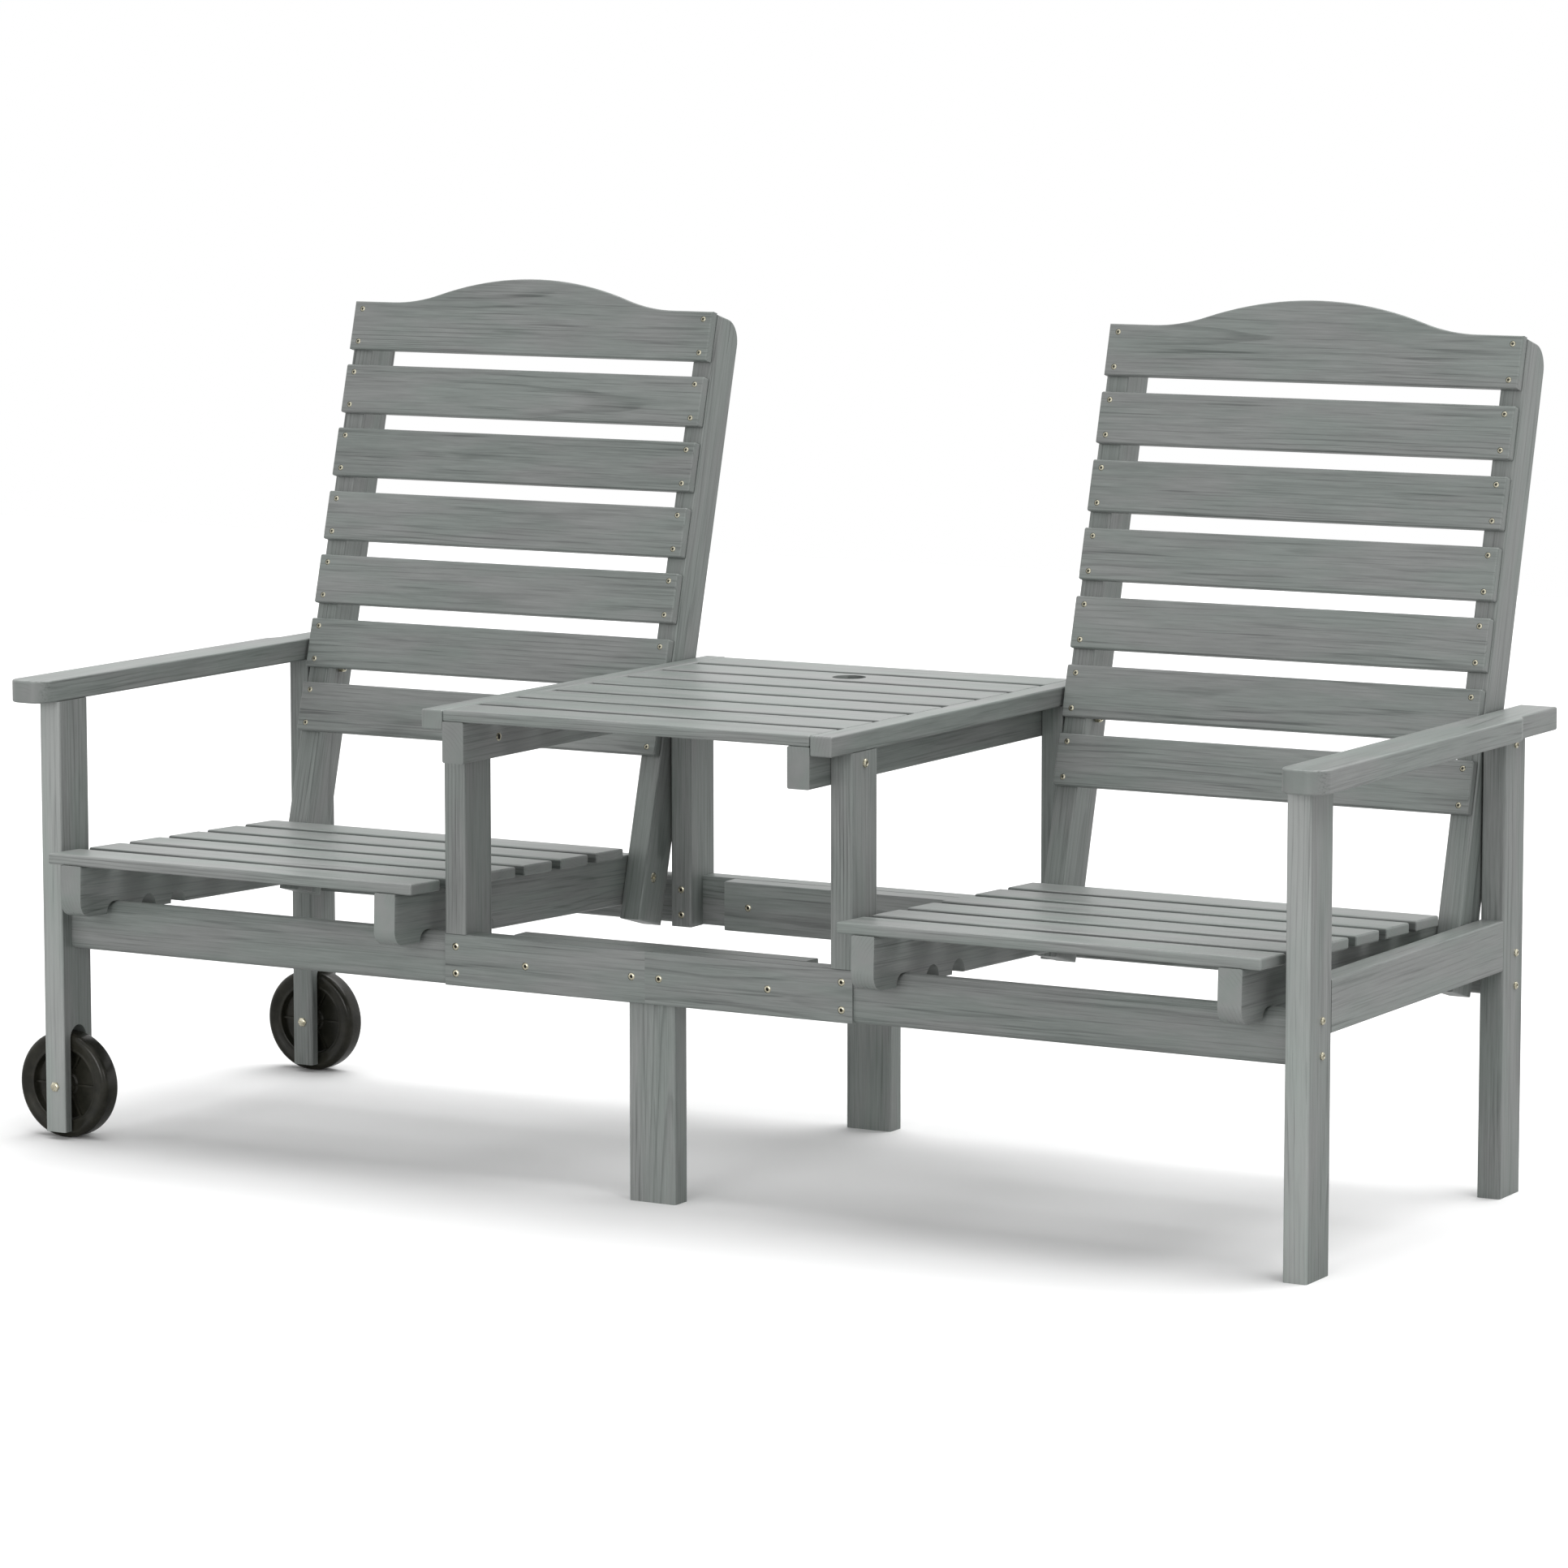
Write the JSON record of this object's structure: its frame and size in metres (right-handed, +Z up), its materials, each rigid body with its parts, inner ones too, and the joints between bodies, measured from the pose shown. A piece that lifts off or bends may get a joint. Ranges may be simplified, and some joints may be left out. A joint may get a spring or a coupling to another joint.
{
  "type": "reclining companion bench",
  "caption": "Grey stained garden bench: reclining slatted armchairs joined by a slatted table with an umbrella hole, on legs and wheels.",
  "frame": {"origin": "middle of the footprint, on the floor", "axes": "+X along the bench to the sitter's left and the viewer's right, +Y from front to rear, +Z up"},
  "size_m": [1.839, 0.7736, 1.0688],
  "materials": {
    "stained_timber": "matte grey stain over grain",
    "plain_dowel": "bare",
    "zinc_hardware": "yellow zinc plated",
    "wheel_plastic": "black, semi-gloss"
  },
  "bodies": {
    "frame": {"left_outer_front_post": "stained_timber", "left_outer_rear_post": "stained_timber", "left_arm": "stained_timber", "left_side_rail": "stained_timber", "left_front_rail": "stained_timber", "left_rear_rail": "stained_timber", "left_inner_front_post": "stained_timber", "left_inner_rear_post": "stained_timber", "left_front_board": "stained_timber", "left_rear_board": "stained_timber", "left_table_end_board": "stained_timber", "left_table_rail": "stained_timber", "right_outer_front_post": "stained_timber", "right_outer_rear_post": "stained_timber", "right_arm": "stained_timber", "right_side_rail": "stained_timber", "right_front_rail": "stained_timber", "right_rear_rail": "stained_timber", "right_inner_front_post": "stained_timber", "right_inner_rear_post": "stained_timber", "right_front_board": "stained_timber", "right_rear_board": "stained_timber", "right_table_end_board": "stained_timber", "right_table_rail": "stained_timber", "front_splice": "stained_timber", "rear_splice": "stained_timber", "front_middle_leg": "stained_timber", "rear_middle_leg": "stained_timber", "table_slats": "stained_timber", "umbrella_slat": "stained_timber", "dowels": "plain_dowel", "rail_bolts": "zinc_hardware", "wood_screws": "zinc_hardware", "table_bolts": "zinc_hardware", "back_pivot_bolts": "zinc_hardware", "lock_nuts": "zinc_hardware", "pivot_washers": "zinc_hardware", "axle_bolts": "zinc_hardware"},
    "left_back": {"left_back_inner_stile": "stained_timber", "left_back_outer_stile": "stained_timber", "left_crown_slat": "stained_timber", "left_back_slats": "stained_timber", "left_back_screws": "zinc_hardware", "left_seat_pivot_bolts": "zinc_hardware"},
    "left_seat": {"left_seat_inner_rail": "stained_timber", "left_seat_outer_rail": "stained_timber", "left_seat_slats": "stained_timber", "left_seat_pegs": "plain_dowel"},
    "right_back": {"right_back_inner_stile": "stained_timber", "right_back_outer_stile": "stained_timber", "right_crown_slat": "stained_timber", "right_back_slats": "stained_timber", "right_back_screws": "zinc_hardware", "right_seat_pivot_bolts": "zinc_hardware"},
    "right_seat": {"right_seat_inner_rail": "stained_timber", "right_seat_outer_rail": "stained_timber", "right_seat_slats": "stained_timber", "right_seat_pegs": "plain_dowel"},
    "front_wheel": {"front_wheel": "wheel_plastic"},
    "rear_wheel": {"rear_wheel": "wheel_plastic"}
  },
  "joints": [
    {"name": "left_back_recline", "type": "hinge", "parent": "frame", "child": "left_back", "pos_m": [-0.554, 0.23961, 0.55], "axis": [-1, 0, 0], "range_deg": [0, 36.5]},
    {"name": "left_seat_follow", "type": "hinge", "parent": "left_back", "child": "left_seat", "pos_m": [-0.554, 0.16971, 0.31229], "axis": [-1, 0, 0], "range_deg": [-32, 0]},
    {"name": "right_back_recline", "type": "hinge", "parent": "frame", "child": "right_back", "pos_m": [0.579, 0.23961, 0.55], "axis": [-1, 0, 0], "range_deg": [0, 36.5]},
    {"name": "right_seat_follow", "type": "hinge", "parent": "right_back", "child": "right_seat", "pos_m": [0.579, 0.16971, 0.31229], "axis": [-1, 0, 0], "range_deg": [-32, 0]},
    {"name": "front_wheel_spin", "type": "hinge", "parent": "frame", "child": "front_wheel", "pos_m": [-0.8515, -0.31199, 0.068], "axis": [0, 1, 0], "continuous": true},
    {"name": "rear_wheel_spin", "type": "hinge", "parent": "frame", "child": "rear_wheel", "pos_m": [-0.8515, 0.23961, 0.068], "axis": [0, 1, 0], "continuous": true}
  ],
  "couplings": [
    {"joint": "left_seat_follow", "follows": "left_back_recline", "ratio": -0.85},
    {"joint": "right_seat_follow", "follows": "right_back_recline", "ratio": -0.85}
  ]
}
